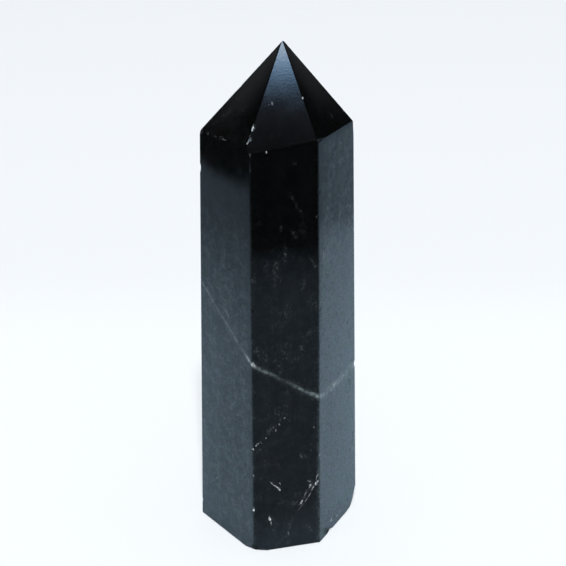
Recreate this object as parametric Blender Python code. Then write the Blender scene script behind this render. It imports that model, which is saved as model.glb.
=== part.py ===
# Morion quartz point: one crystal of nearly black smoky quartz, ground and polished
# with six long prism faces, six top faces that meet in a tip, and a flat foot.
# A block is cut down face by face, the way a stone cutter works: first the faces,
# then a narrow ground band along each edge, then the broken corners, and last the
# small chips along the edges. The origin is the middle of the foot.

import math
import random

import bmesh
import bpy
from mathutils import Matrix, Vector

MM = 0.001

# Prism faces: the way each one looks (degrees from +X), how far its foot lies from
# the middle (mm), and how much it leans in towards the top (degrees)
PRISM = {
    "left": (-140.5, 11.30, 0.93),
    "front": (-77.0, 11.18, 0.97),
    "right": (-30.7, 11.02, 1.01),
    "back_right": (36.5, 12.00, 1.56),
    "back": (95.0, 11.23, 1.27),
    "back_left": (151.9, 11.51, 1.53),
}

# Top faces: the way each one looks, its slope from level (degrees), and how far it
# stands out past the tip (mm), because no point is ground exactly true
TOP = {
    "left": (-143.2, 50.4, 0.06),
    "front": (-82.4, 52.6, -0.05),
    "right": (-29.8, 54.7, -0.02),
    "back_right": (35.4, 55.5, 0.16),
    "back": (96.7, 52.7, 0.0),
    "back_left": (153.6, 51.9, -0.02),
}
TIP = Vector((0.95, 0.04, 85.60))

# Ground bands along the edges: their widths (mm)
PRISM_BAND = 0.24
SHOULDER_BAND = 0.14
TOP_BAND = 0.10
FOOT_BAND = 0.16

# Broken corners: the three faces that met there, and how far the break runs down the
# edge of the first two, of the last two, and of the last and first (mm)
BREAKS = [
    (("left", "front", "foot"), (1.75, 1.2, 2.5)),
    (("left", "front", "foot"), (1.75, 2.6, 1.2)),
    (("right", "back_right", "foot"), (4.15, 1.1, 2.25)),
    (("right", "back_right", "foot"), (3.25, 1.5, 2.7)),
    (("right", "back_right", "foot"), (1.15, 1.7, 4.45)),
    (("back", "back_left", "foot"), (1.3, 1.9, 1.1)),
    (("back_right", "back", "foot"), (0.8, 0.6, 1.0)),
    (("right", "right top", "front"), (2.2, 0.5, 0.4)),
    (("left", "left top", "back_left"), (1.1, 1.2, 1.0)),
    (("right", "right top", "back_right"), (0.35, 0.6, 4.5)),
    (("back", "back top", "back_left"), (0.9, 0.4, 0.6)),
]

# Chips: the edge between the first two faces, which starts at the third face; the
# distance from that start, the length and the depth (mm); and how far the chip leans
# over to the first face (-1) or the second (1)
CHIPS = [
    (("back_left", "left", "foot"), 66.0, 2.2, 0.30, 0.2),
    (("back_left", "left", "foot"), 60.7, 0.8, 0.11, 0.3),
    (("back_left", "left", "foot"), 51.2, 1.2, 0.12, 0.2),
    (("back_left", "left", "foot"), 46.6, 1.0, 0.12, 0.5),
    (("back_left", "left", "foot"), 32.4, 0.9, 0.12, 0.0),
    (("back_left", "left", "foot"), 2.7, 1.5, 0.24, 0.4),
    (("right", "back_right", "foot"), 29.1, 1.8, 0.26, -0.2),
    (("right", "back_right", "foot"), 60.1, 0.9, 0.10, 0.1),
    (("right", "back_right", "foot"), 14.0, 1.1, 0.11, 0.4),
    (("left", "front", "foot"), 8.8, 1.1, 0.16, 0.2),
    (("left", "front", "foot"), 15.7, 0.8, 0.12, -0.3),
    (("left", "front", "foot"), 20.9, 0.9, 0.15, 0.3),
    (("left", "front", "foot"), 37.0, 1.9, 0.22, 0.4),
    (("left", "front", "foot"), 51.6, 1.5, 0.12, 0.5),
    (("front", "right", "foot"), 29.2, 1.1, 0.14, 0.0),
    (("front", "right", "foot"), 14.6, 1.5, 0.15, -0.5),
    (("right", "foot", "front"), 3.7, 2.3, 0.50, -0.2),
    (("right", "foot", "front"), 6.3, 0.9, 0.16, -0.2),
    (("front", "foot", "left"), 7.4, 1.0, 0.12, -0.3),
    (("left", "foot", "front"), 8.6, 1.2, 0.13, -0.3),
    (("back", "foot", "back_left"), 5.2, 1.8, 0.32, -0.2),
    (("back_left", "foot", "left"), 4.4, 1.3, 0.20, -0.2),
    (("left", "left top", "back_left"), 2.0, 0.9, 0.13, 0.4),
    (("left", "left top", "back_left"), 3.7, 0.7, 0.10, 0.2),
    (("left", "left top", "back_left"), 5.4, 1.3, 0.16, 0.3),
    (("left", "left top", "back_left"), 6.7, 0.6, 0.09, -0.2),
    (("left top", "front top", "tip"), 14.2, 1.5, 0.14, 0.4),
    (("left top", "front top", "tip"), 16.5, 1.3, 0.17, -0.3),
    (("left top", "back_left top", "tip"), 9.4, 1.2, 0.14, 0.2),
    (("front top", "right top", "tip"), 9.2, 0.7, 0.09, -0.4),
]

# Small wear chips strewn along every edge: the mean gap (mm) and how uneven it is, as
# a share of it, and the ranges of length and depth (mm)
WEAR_GAP = 7.5
WEAR_UNEVEN = 0.5
WEAR_LENGTH = (0.5, 1.1)
WEAR_DEPTH = (0.05, 0.11)
WEAR_SEED = 26

# How rough a chip's surface is, as a share of its depth, and how far it can lean over
CHIP_RAGGED = 0.05
CHIP_LEAN = math.radians(30)
CHIP_BALL_STEPS = 2

# The block that the stone is cut from, and the distance at which a cut takes a corner
# as lying on it (m)
BLOCK_SIZE = 0.4
SNAP = 1e-7

STONE_COLOUR = (0.0042, 0.0038, 0.0036, 1.0)
STONE_ROUGHNESS = 0.12


def clear_scene():
    for item in list(bpy.data.objects):
        bpy.data.objects.remove(item, do_unlink=True)


def face_planes():
    """Each flat face as its outward direction and its distance from the origin, in metres."""
    planes = {"foot": (Vector((0, 0, -1)), 0.0)}
    for name, (azimuth, reach, lean) in PRISM.items():
        around, up = math.radians(azimuth), math.radians(lean)
        flat = Vector((math.cos(around), math.sin(around), 0))
        normal = flat * math.cos(up) + Vector((0, 0, math.sin(up)))
        planes[name] = (normal, normal.dot(flat * reach * MM))
    for name, (azimuth, slope, proud) in TOP.items():
        around, tilt = math.radians(azimuth), math.radians(slope)
        flat = Vector((math.cos(around), math.sin(around), 0))
        normal = flat * math.sin(tilt) + Vector((0, 0, math.cos(tilt)))
        planes[name + " top"] = (normal, normal.dot(TIP * MM) + proud * MM)
    return planes


def meeting_point(planes, names):
    """The point where three faces meet."""
    normals = [planes[name][0] for name in names]
    reaches = Vector([planes[name][1] for name in names])
    return Matrix(normals).inverted() @ reaches


def edge_direction(planes, first, second, away_from):
    """Along the edge of two faces, pointing away from a third one that closes its start."""
    along = planes[first][0].cross(planes[second][0]).normalized()
    outward = Vector((0, 0, 1)) if away_from == "tip" else planes[away_from][0]
    return -along if along.dot(outward) > 0 else along


def edge_start(planes, first, second, from_face):
    """Where an edge starts: at a third face, or at the point of the edge nearest the tip."""
    if from_face != "tip":
        return meeting_point(planes, (first, second, from_face))
    along = planes[first][0].cross(planes[second][0]).normalized()
    rows = Matrix((planes[first][0], planes[second][0], along))
    return rows.inverted() @ Vector((planes[first][1], planes[second][1], along.dot(TIP * MM)))


def cut_away(bm, normal, reach):
    """Cuts off what lies outside a plane, and closes the cut with one flat face."""
    everything = bm.verts[:] + bm.edges[:] + bm.faces[:]
    bmesh.ops.bisect_plane(bm, geom=everything, dist=SNAP, plane_co=normal * reach,
                           plane_no=normal, clear_outer=True)
    rim = [edge for edge in bm.edges if edge.is_boundary]
    if rim:
        bmesh.ops.edgeloop_fill(bm, edges=rim)


def band_cut(bm, planes, first, second, width):
    """Grinds a narrow flat band along the edge of two faces."""
    one, two = planes[first], planes[second]
    outward = (one[0] + two[0]).normalized()
    along = one[0].cross(two[0]).normalized()
    rows = Matrix((one[0], two[0], along))
    on_edge = rows.inverted() @ Vector((one[1], two[1], 0))
    half_turn = one[0].angle(two[0]) / 2
    depth = width * MM / 2 * math.tan(half_turn)
    cut_away(bm, outward, outward.dot(on_edge) - depth)


def neighbours(names):
    """The faces in ring order, each with the next one."""
    return list(zip(names, names[1:] + names[:1]))


def break_cut(bm, planes, faces, runs):
    """Breaks off a corner with one flat cut through a point on each of its three edges."""
    corner = meeting_point(planes, faces)
    points = []
    for number, run in enumerate(runs):
        first, second, third = faces[number], faces[(number + 1) % 3], faces[(number + 2) % 3]
        points.append(corner + edge_direction(planes, first, second, third) * run * MM)
    normal = (points[1] - points[0]).cross(points[2] - points[0]).normalized()
    if normal.dot(corner - points[0]) < 0:
        normal.negate()
    cut_away(bm, normal, normal.dot(points[0]))


def make_stone(planes):
    """The stone with its faces, ground bands and broken corners."""
    bm = bmesh.new()
    bmesh.ops.create_cube(bm, size=BLOCK_SIZE)
    for normal, reach in planes.values():
        cut_away(bm, normal, reach)
    sides = neighbours(list(PRISM))
    for first, second in sides:
        band_cut(bm, planes, first, second, PRISM_BAND)
        band_cut(bm, planes, first + " top", second + " top", TOP_BAND)
    for name in PRISM:
        band_cut(bm, planes, name, name + " top", SHOULDER_BAND)
        band_cut(bm, planes, name, "foot", FOOT_BAND)
    for faces, runs in BREAKS:
        break_cut(bm, planes, faces, runs)
    return mesh_object("quartz_point", bm)


def mesh_object(name, bm):
    mesh = bpy.data.meshes.new(name)
    bmesh.ops.recalc_face_normals(bm, faces=bm.faces[:])
    bm.to_mesh(mesh)
    bm.free()
    item = bpy.data.objects.new(name, mesh)
    bpy.context.scene.collection.objects.link(item)
    return item


def edge_length(planes, first, second, start, end):
    return (edge_start(planes, first, second, start) - edge_start(planes, first, second, end)).length / MM


def wear_chips(planes, rng):
    """Small chips at uneven steps along every edge, in the form of the CHIPS list."""
    runs = []
    for first, second in neighbours(list(PRISM)):
        runs.append((first, second, "foot", first + " top"))
        runs.append((first + " top", second + " top", "tip", first))
    names = list(PRISM)
    for number, name in enumerate(names):
        before, after = names[number - 1], names[(number + 1) % len(names)]
        runs.append((name, name + " top", before, after))
        runs.append((name, "foot", before, after))
    chips = []
    for first, second, start, end in runs:
        length = edge_length(planes, first, second, start, end)
        place = WEAR_GAP * rng.uniform(WEAR_UNEVEN, 1)
        while place < length - WEAR_LENGTH[1]:
            chip = (rng.uniform(*WEAR_LENGTH), rng.uniform(*WEAR_DEPTH), rng.uniform(-1, 1))
            chips.append(((first, second, start), place, *chip))
            place += WEAR_GAP * rng.uniform(1 - WEAR_UNEVEN, 1 + WEAR_UNEVEN)
    return chips


def add_chip(bm, planes, chip, rng):
    """One rough ball that bites a shallow chip out of an edge."""
    (first, second, start), place, length, depth, lean = chip
    along = edge_direction(planes, first, second, start)
    centre = edge_start(planes, first, second, start) + along * place * MM
    outward = (planes[first][0] + planes[second][0]).normalized()
    toward_second = (planes[second][0] - planes[first][0]).normalized()
    angle = lean * CHIP_LEAN
    pull = outward * math.cos(angle) + toward_second * math.sin(angle)
    radius = length ** 2 / (8 * depth) * MM
    centre = centre + pull * (radius - depth * MM)
    turn = Matrix.Rotation(rng.uniform(0, math.tau), 4, pull)
    place_matrix = Matrix.Translation(centre) @ turn @ pull.to_track_quat("Z", "Y").to_matrix().to_4x4()
    ball = bmesh.ops.create_icosphere(bm, subdivisions=CHIP_BALL_STEPS, radius=radius, matrix=place_matrix)
    for vert in ball["verts"]:
        away = vert.co - centre
        vert.co = centre + away * (1 + rng.uniform(-CHIP_RAGGED, CHIP_RAGGED) * depth * MM / radius)


def make_chip_cutter(planes):
    """All the chips as one joined cutter."""
    rng = random.Random(WEAR_SEED)
    bm = bmesh.new()
    for chip in CHIPS + wear_chips(planes, rng):
        add_chip(bm, planes, chip, rng)
    cutter = mesh_object("chip_cutter", bm)
    cutter.hide_render = True
    cutter.display_type = "WIRE"
    return cutter


def cut_with(stone, cutter):
    bite = stone.modifiers.new("edge chips", "BOOLEAN")
    bite.operation = "DIFFERENCE"
    bite.solver = "EXACT"
    bite.use_self = True
    bite.object = cutter


def stone_material():
    material = bpy.data.materials.new("smoky black quartz")
    material.use_nodes = True
    surface = material.node_tree.nodes["Principled BSDF"]
    surface.inputs["Base Color"].default_value = STONE_COLOUR
    surface.inputs["Roughness"].default_value = STONE_ROUGHNESS
    surface.inputs["Metallic"].default_value = 0.0
    return material


def main():
    clear_scene()
    planes = face_planes()
    stone = make_stone(planes)
    stone.data.materials.append(stone_material())
    cut_with(stone, make_chip_cutter(planes))


main()
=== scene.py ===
import math
import random

import bmesh
import bpy
from mathutils import Matrix, Vector


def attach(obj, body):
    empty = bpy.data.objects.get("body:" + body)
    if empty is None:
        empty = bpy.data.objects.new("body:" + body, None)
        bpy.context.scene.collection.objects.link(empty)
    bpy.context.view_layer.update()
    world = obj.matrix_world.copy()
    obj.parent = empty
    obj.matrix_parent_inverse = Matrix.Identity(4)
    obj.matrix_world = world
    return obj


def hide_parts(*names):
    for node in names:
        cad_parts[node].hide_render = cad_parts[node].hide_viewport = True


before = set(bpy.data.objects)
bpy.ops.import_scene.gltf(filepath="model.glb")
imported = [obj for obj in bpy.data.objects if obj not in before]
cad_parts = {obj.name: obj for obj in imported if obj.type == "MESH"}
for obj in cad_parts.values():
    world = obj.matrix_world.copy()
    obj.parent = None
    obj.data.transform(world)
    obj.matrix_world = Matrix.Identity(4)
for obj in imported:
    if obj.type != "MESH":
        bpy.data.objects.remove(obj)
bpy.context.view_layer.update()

mm = 0.001

# Measures are in millimetres or degrees unless a note says otherwise
stoneCut = {
    "prism": {  # way it looks, reach at the foot, lean
        "left": (-140.5, 11.30, 0.93),
        "front": (-77.0, 11.18, 0.97),
        "right": (-30.7, 11.02, 1.01),
        "backRight": (36.5, 12.00, 1.56),
        "back": (95.0, 11.23, 1.27),
        "backLeft": (151.9, 11.51, 1.53),
    },
    "top": {  # way it looks, slope, how far it stands out past the tip
        "left": (-143.2, 50.4, 0.06),
        "front": (-82.4, 52.6, -0.05),
        "right": (-29.8, 54.7, -0.02),
        "backRight": (35.4, 55.5, 0.16),
        "back": (96.7, 52.7, 0.0),
        "backLeft": (153.6, 51.9, -0.02),
    },
    "tip": Vector((0.95, 0.04, 85.60)),
    "bands": {"prism": 0.24, "shoulder": 0.14, "top": 0.10, "foot": 0.16},
    "bandSteps": 3,  # flats that round each ground band
    "blockSize": 0.4,  # metres
    "snap": 1e-7,  # metres
    "sameWay": 0.999999,  # least share of its direction that a flat part has in common with its face
    "sharpFrom": 5.0,  # edges that turn more than this show sharp
}

# Material slots of the stone, and which of them each kind of band gets
finishes = {"polished": 0, "ground": 1, "broken": 2}
bandFinish = {"prism": "ground", "shoulder": "polished", "top": "polished", "foot": "ground"}

# Hand polishing leaves each face a little domed between its ridges
doming = {
    "rise": 0.0024,  # per millimetre
    "endFade": 5.0,
    "cuts": {"prism": (12, 26), "top": (12, 10)},  # strips across and up a face
}

# Broken corners: the faces that met there, and how far the break runs down each edge
brokenCorners = [
    (("left", "front", "foot"), (1.75, 1.2, 2.5)),
    (("left", "front", "foot"), (1.75, 2.6, 1.2)),
    (("right", "backRight", "foot"), (4.15, 1.1, 2.25)),
    (("right", "backRight", "foot"), (3.25, 1.5, 2.7)),
    (("right", "backRight", "foot"), (1.15, 1.7, 4.45)),
    (("back", "backLeft", "foot"), (1.3, 1.9, 1.1)),
    (("backRight", "back", "foot"), (0.8, 0.6, 1.0)),
    (("right", "right top", "front"), (2.2, 0.5, 0.4)),
    (("left", "left top", "backLeft"), (1.1, 1.2, 1.0)),
    (("right", "right top", "backRight"), (0.35, 0.6, 4.5)),
    (("back", "back top", "backLeft"), (0.9, 0.4, 0.6)),
]

# Edge chips: the edge and the face it starts at, distance, length, depth, lean
edgeChips = [
    (("backLeft", "left", "foot"), 66.0, 2.2, 0.30, 0.2),
    (("backLeft", "left", "foot"), 60.7, 0.8, 0.11, 0.3),
    (("backLeft", "left", "foot"), 51.2, 1.2, 0.12, 0.2),
    (("backLeft", "left", "foot"), 46.6, 1.0, 0.12, 0.5),
    (("backLeft", "left", "foot"), 32.4, 0.9, 0.12, 0.0),
    (("backLeft", "left", "foot"), 2.7, 1.5, 0.24, 0.4),
    (("right", "backRight", "foot"), 29.1, 1.8, 0.26, -0.2),
    (("right", "backRight", "foot"), 60.1, 0.9, 0.10, 0.1),
    (("right", "backRight", "foot"), 14.0, 1.1, 0.11, 0.4),
    (("left", "front", "foot"), 8.8, 1.1, 0.16, 0.2),
    (("left", "front", "foot"), 15.7, 0.8, 0.12, -0.3),
    (("left", "front", "foot"), 20.9, 0.9, 0.15, 0.3),
    (("left", "front", "foot"), 37.0, 1.9, 0.22, 0.4),
    (("left", "front", "foot"), 51.6, 1.5, 0.12, 0.5),
    (("front", "right", "foot"), 29.2, 1.1, 0.14, 0.0),
    (("front", "right", "foot"), 14.6, 1.5, 0.15, -0.5),
    (("right", "foot", "front"), 3.7, 2.3, 0.50, -0.2),
    (("right", "foot", "front"), 6.3, 0.9, 0.16, -0.2),
    (("front", "foot", "left"), 7.4, 1.0, 0.12, -0.3),
    (("left", "foot", "front"), 8.6, 1.2, 0.13, -0.3),
    (("back", "foot", "backLeft"), 5.2, 1.8, 0.32, -0.2),
    (("backLeft", "foot", "left"), 4.4, 1.3, 0.20, -0.2),
    (("left", "left top", "backLeft"), 2.0, 0.9, 0.13, 0.4),
    (("left", "left top", "backLeft"), 3.7, 0.7, 0.10, 0.2),
    (("left", "left top", "backLeft"), 5.4, 1.3, 0.16, 0.3),
    (("left", "left top", "backLeft"), 6.7, 0.6, 0.09, -0.2),
    (("left top", "front top", "tip"), 14.2, 1.4, 0.11, 0.4),
    (("left top", "front top", "tip"), 16.7, 0.7, 0.09, -0.3),
    (("left top", "backLeft top", "tip"), 9.4, 1.2, 0.14, 0.2),
    (("front top", "right top", "tip"), 9.2, 0.7, 0.09, -0.4),
]

# Wear along the edges: mean gap, unevenness, lengths, depths, how fine the ball is, and how many
# times wider the gaps are at the top, which is cleaner than the rest
coarseWear = {"gap": 7.5, "uneven": 0.5, "length": (0.5, 1.1), "depth": (0.05, 0.11), "steps": 3,
              "spread": {"top": 3.0, "shoulder": 9.0}}
fineWear = {"gap": 2.2, "uneven": 0.8, "length": (0.16, 0.42), "depth": (0.015, 0.045), "steps": 2,
            "spread": {"top": 8.0, "shoulder": 9.0}}
chipLook = {"seed": 26, "fineSeed": 7, "ragged": 0.05, "ripple": 0.10, "ripples": 5, "lean": 30.0,
            "pitUneven": (0.8, 1.15)}


def facePlanes():
    planes = {"foot": (Vector((0, 0, -1)), 0.0)}
    for name, (azimuth, reach, lean) in stoneCut["prism"].items():
        around, up = math.radians(azimuth), math.radians(lean)
        flat = Vector((math.cos(around), math.sin(around), 0))
        normal = flat * math.cos(up) + Vector((0, 0, math.sin(up)))
        planes[name] = (normal, normal.dot(flat * reach * mm))
    for name, (azimuth, slope, proud) in stoneCut["top"].items():
        around, tilt = math.radians(azimuth), math.radians(slope)
        flat = Vector((math.cos(around), math.sin(around), 0))
        normal = flat * math.sin(tilt) + Vector((0, 0, math.cos(tilt)))
        planes[name + " top"] = (normal, normal.dot(stoneCut["tip"] * mm) + proud * mm)
    return planes


planes = facePlanes()
sideNames = list(stoneCut["prism"])
ringPairs = list(zip(sideNames, sideNames[1:] + sideNames[:1]))


def meetingPoint(names):
    reaches = Vector([planes[name][1] for name in names])
    return Matrix([planes[name][0] for name in names]).inverted() @ reaches


def edgeDirection(first, second, awayFrom):
    along = planes[first][0].cross(planes[second][0]).normalized()
    outward = Vector((0, 0, 1)) if awayFrom == "tip" else planes[awayFrom][0]
    return -along if along.dot(outward) > 0 else along


def edgeStart(first, second, fromFace):
    if fromFace != "tip":
        return meetingPoint((first, second, fromFace))
    along = planes[first][0].cross(planes[second][0]).normalized()
    rows = Matrix((planes[first][0], planes[second][0], along))
    reaches = (planes[first][1], planes[second][1], along.dot(stoneCut["tip"] * mm))
    return rows.inverted() @ Vector(reaches)


def cutAway(bm, normal, reach, finish=0):
    everything = bm.verts[:] + bm.edges[:] + bm.faces[:]
    bmesh.ops.bisect_plane(bm, geom=everything, dist=stoneCut["snap"], plane_co=normal * reach,
                           plane_no=normal, clear_outer=True)
    rim = [edge for edge in bm.edges if edge.is_boundary]
    if rim:
        bmesh.ops.edgeloop_fill(bm, edges=rim, mat_nr=finish)


def bandRadius(first, second, width):
    return width * mm / 2 / math.tan(planes[first][0].angle(planes[second][0]) / 4)


def roundBand(bm, first, second, kind):
    # flats set round an arc that touches both faces, so the band rolls over softly
    one, two = planes[first], planes[second]
    radius = bandRadius(first, second, stoneCut["bands"][kind])
    along = one[0].cross(two[0]).normalized()
    rows = Matrix((one[0], two[0], along))
    centre = rows.inverted() @ Vector((one[1] - radius, two[1] - radius, 0))
    for step in range(stoneCut["bandSteps"]):
        share = (step + 1) / (stoneCut["bandSteps"] + 1)
        normal = one[0].slerp(two[0], share)
        cutAway(bm, normal, normal.dot(centre) + radius, finishes[bandFinish[kind]])


def breakCorner(bm, faces, runs):
    corner = meetingPoint(faces)
    points = []
    for number, run in enumerate(runs):
        first, second, third = faces[number], faces[(number + 1) % 3], faces[(number + 2) % 3]
        points.append(corner + edgeDirection(first, second, third) * run * mm)
    normal = (points[1] - points[0]).cross(points[2] - points[0]).normalized()
    if normal.dot(corner - points[0]) < 0:
        normal.negate()
    cutAway(bm, normal, normal.dot(points[0]), finishes["broken"])


def meshObject(name, bm):
    mesh = bpy.data.meshes.new(name)
    bmesh.ops.recalc_face_normals(bm, faces=bm.faces[:])
    bm.to_mesh(mesh)
    bm.free()
    item = bpy.data.objects.new(name, mesh)
    bpy.context.scene.collection.objects.link(item)
    return item


def faceAxes(face):
    # across and up the slope of a face, seen from outside
    normal = planes[face][0]
    across = Vector((0, 0, 1)).cross(normal).normalized()
    return across, normal.cross(across), normal


def faceBorders(face):
    # the faces beside this one, then those above and below it, each with its band's width
    bands = stoneCut["bands"]
    number = sideNames.index(face.split()[0])
    before, after = sideNames[number - 1], sideNames[(number + 1) % len(sideNames)]
    if face.endswith(" top"):
        sides = [(before + " top", bands["top"]), (after + " top", bands["top"])]
        ends = [(sideNames[number], bands["shoulder"])]
    else:
        sides = [(before, bands["prism"]), (after, bands["prism"])]
        ends = [(face + " top", bands["shoulder"]), ("foot", bands["foot"])]
    return sides, ends


def borderDistance(face, other, width, point):
    turn = planes[face][0].angle(planes[other][0])
    flatTurn = turn / (stoneCut["bandSteps"] + 1)
    setback = bandRadius(face, other, width) * (math.tan(turn / 2) - math.tan(flatTurn / 2))
    distance = (planes[other][1] - planes[other][0].dot(point)) / math.sin(turn)
    return max(0.0, distance - setback) / mm


def domeHeight(face, point):
    sides, ends = faceBorders(face)
    height = doming["rise"]
    for other, width in sides:
        height *= borderDistance(face, other, width, point)
    for other, width in ends:
        share = min(1.0, borderDistance(face, other, width, point) / doming["endFade"])
        height *= share * share * (3 - 2 * share)
    return height * mm


def flatParts(bm, face):
    normal, reach = planes[face]
    bm.normal_update()
    return [part for part in bm.faces if part.normal.dot(normal) > stoneCut["sameWay"]
            and abs(normal.dot(part.verts[0].co) - reach) < stoneCut["snap"] * 10]


def domeFace(bm, face, cuts):
    sideways, upward, normal = faceAxes(face)
    parts = flatParts(bm, face)
    for axis, count in zip((sideways, upward), cuts):
        heights = [axis.dot(vert.co) for part in parts for vert in part.verts]
        low, high = min(heights), max(heights)
        for step in range(1, count):
            geometry = set(parts)
            for part in parts:
                geometry.update(part.edges, part.verts)
            bmesh.ops.bisect_plane(bm, geom=list(geometry), dist=stoneCut["snap"], plane_no=axis,
                                   plane_co=axis * (low + (high - low) * step / count))
            parts = flatParts(bm, face)
    for part in parts:
        part.smooth = True
    for vert in {vert for part in parts for vert in part.verts}:
        vert.co += normal * domeHeight(face, vert.co)


def makeStone():
    bm = bmesh.new()
    bmesh.ops.create_cube(bm, size=stoneCut["blockSize"])
    for name, (normal, reach) in planes.items():
        cutAway(bm, normal, reach, finishes["ground" if name == "foot" else "polished"])
    for first, second in ringPairs:
        roundBand(bm, first, second, "prism")
        roundBand(bm, first + " top", second + " top", "top")
    for name in sideNames:
        roundBand(bm, name, name + " top", "shoulder")
        roundBand(bm, name, "foot", "foot")
    for faces, runs in brokenCorners:
        breakCorner(bm, faces, runs)
    for name in sideNames:
        domeFace(bm, name, doming["cuts"]["prism"])
        domeFace(bm, name + " top", doming["cuts"]["top"])
    # a dented or twisted part is split in triangles, so that every cut meets flat parts
    bm.normal_update()
    bent = [part for part in bm.faces if len(part.verts) > 3 and max(
        abs(part.normal.dot(vert.co - part.verts[0].co)) for vert in part.verts) > stoneCut["snap"]]
    bmesh.ops.triangulate(bm, faces=bent)
    return meshObject("polishedPoint", bm)


def edgeRuns():
    # every edge as its two faces, the faces that end it, and which kind it is
    runs = []
    for first, second in ringPairs:
        runs.append((first, second, "foot", first + " top", "prism"))
        runs.append((first + " top", second + " top", "tip", first, "top"))
    for number, name in enumerate(sideNames):
        before, after = sideNames[number - 1], sideNames[(number + 1) % len(sideNames)]
        runs.append((name, name + " top", before, after, "shoulder"))
        runs.append((name, "foot", before, after, "foot"))
    return runs


def wearChips(wear, rng):
    chips = []
    for first, second, start, end, kind in edgeRuns():
        length = (edgeStart(first, second, start) - edgeStart(first, second, end)).length / mm
        gap = wear["gap"] * wear["spread"].get(kind, 1)
        place = gap * rng.uniform(wear["uneven"], 1)
        while place < length - wear["length"][1]:
            chip = (rng.uniform(*wear["length"]), rng.uniform(*wear["depth"]), rng.uniform(-1, 1))
            chips.append(((first, second, start), place, *chip))
            place += gap * rng.uniform(1 - wear["uneven"], 1 + wear["uneven"])
    return chips


def addChip(bm, chip, steps, rng):
    # a ball that bites a shell-shaped chip out of an edge, rippled round a point beside its middle
    (first, second, start), place, length, depth, lean = chip
    centre = edgeStart(first, second, start) + edgeDirection(first, second, start) * place * mm
    outward = (planes[first][0] + planes[second][0]).normalized()
    towardSecond = (planes[second][0] - planes[first][0]).normalized()
    angle = lean * math.radians(chipLook["lean"])
    pull = outward * math.cos(angle) + towardSecond * math.sin(angle)
    radius = length ** 2 / (8 * depth) * mm
    centre = centre + pull * (radius - depth * mm)
    turn = Matrix.Rotation(rng.uniform(0, math.tau), 4, pull)
    placed = Matrix.Translation(centre) @ turn @ pull.to_track_quat("Z", "Y").to_matrix().to_4x4()
    ball = bmesh.ops.create_icosphere(bm, subdivisions=steps, radius=radius, matrix=placed)
    ringCentre = centre - pull * radius + placed.to_3x3() @ Vector((length / 3 * mm, 0, 0))
    for vert in ball["verts"]:
        away = vert.co - centre
        ring = math.sin((vert.co - ringCentre).length / (length * mm) * chipLook["ripples"] * math.tau)
        swell = rng.uniform(-chipLook["ragged"], chipLook["ragged"]) + chipLook["ripple"] * ring
        vert.co = centre + away * (1 + swell * depth * mm / radius)


def makeChips():
    bm = bmesh.new()
    rng = random.Random(chipLook["seed"])
    for chip in edgeChips + wearChips(coarseWear, rng):
        addChip(bm, chip, coarseWear["steps"], rng)
    rng = random.Random(chipLook["fineSeed"])
    for chip in wearChips(fineWear, rng):
        addChip(bm, chip, fineWear["steps"], rng)
    return meshObject("chipTool", bm)


# Small pits and scratches in the faces: face, across and up on it, half length,
# half width, depth, and turn from level
facePits = [
    ("front", -6.0, 21.8, 0.26, 0.15, 0.06, 45),
    ("front", -4.7, 22.9, 0.16, 0.10, 0.04, 30),
    ("front", -2.9, 24.2, 0.15, 0.11, 0.04, 60),
    ("front", -1.4, 26.2, 0.20, 0.15, 0.06, 70),
    ("front", -3.6, 13.9, 0.30, 0.09, 0.05, -50),
    ("front", -2.5, 12.5, 0.45, 0.12, 0.05, -55),
    ("front", 3.9, 13.4, 0.60, 0.12, 0.06, 80),
    ("front", 3.6, 12.3, 0.45, 0.16, 0.07, 76),
    ("front", 2.8, 12.2, 0.36, 0.14, 0.06, -60),
    ("front", 1.9, 10.2, 0.55, 0.09, 0.05, 58),
    ("front", 1.1, 8.9, 0.50, 0.12, 0.05, 62),
    ("front", -4.2, 6.5, 0.34, 0.17, 0.06, -83),
    ("front", -3.9, 72.1, 0.16, 0.12, 0.05, 10),
    ("front", 3.4, 23.7, 0.12, 0.09, 0.04, 0),
    ("left", -2.7, 12.6, 0.15, 0.12, 0.05, 0),
    ("left", 1.8, 20.1, 0.11, 0.08, 0.03, 30),
    ("left", 3.7, 16.3, 0.13, 0.09, 0.04, 80),
    ("right", 0.1, 2.2, 0.22, 0.14, 0.07, 60),
    ("right", 6.7, 12.5, 0.13, 0.10, 0.04, 0),
    ("backLeft", 2.2, 44.0, 0.22, 0.12, 0.06, 25),
    ("backLeft", -2.7, 18.0, 0.40, 0.10, 0.05, 62),
    ("back", -3.1, 31.0, 0.20, 0.15, 0.07, 0),
    ("back", 1.4, 52.5, 0.50, 0.09, 0.05, -48),
    ("back", 3.2, 12.0, 0.18, 0.12, 0.05, 30),
    ("backRight", -1.8, 24.5, 0.24, 0.14, 0.06, 75),
    ("backRight", 3.0, 58.0, 0.36, 0.10, 0.05, 40),
    ("back top", 0.6, 77.5, 0.20, 0.14, 0.05, 20),
]


def onFace(face, across, height):
    sideways, _, normal = faceAxes(face)
    rows = Matrix((normal, sideways, Vector((0, 0, 1))))
    point = rows.inverted() @ Vector((planes[face][1], across * mm, height * mm))
    return point + normal * domeHeight(face, point)


def makePits():
    bm = bmesh.new()
    rng = random.Random(chipLook["seed"])
    for face, across, height, long, wide, depth, turn in facePits:
        sideways, upward, normal = faceAxes(face)
        frameAxes = Matrix((sideways, upward, normal)).transposed().to_4x4()
        size = Matrix.Diagonal((long * mm, wide * mm, depth * mm, 1))
        placed = (Matrix.Translation(onFace(face, across, height)) @ frameAxes
                  @ Matrix.Rotation(math.radians(turn), 4, "Z") @ size)
        pit = bmesh.ops.create_icosphere(bm, subdivisions=2, radius=1, matrix=placed)
        middle = placed.translation
        for vert in pit["verts"]:
            vert.co = middle + (vert.co - middle) * rng.uniform(*chipLook["pitUneven"])
    return meshObject("pitTool", bm)


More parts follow.
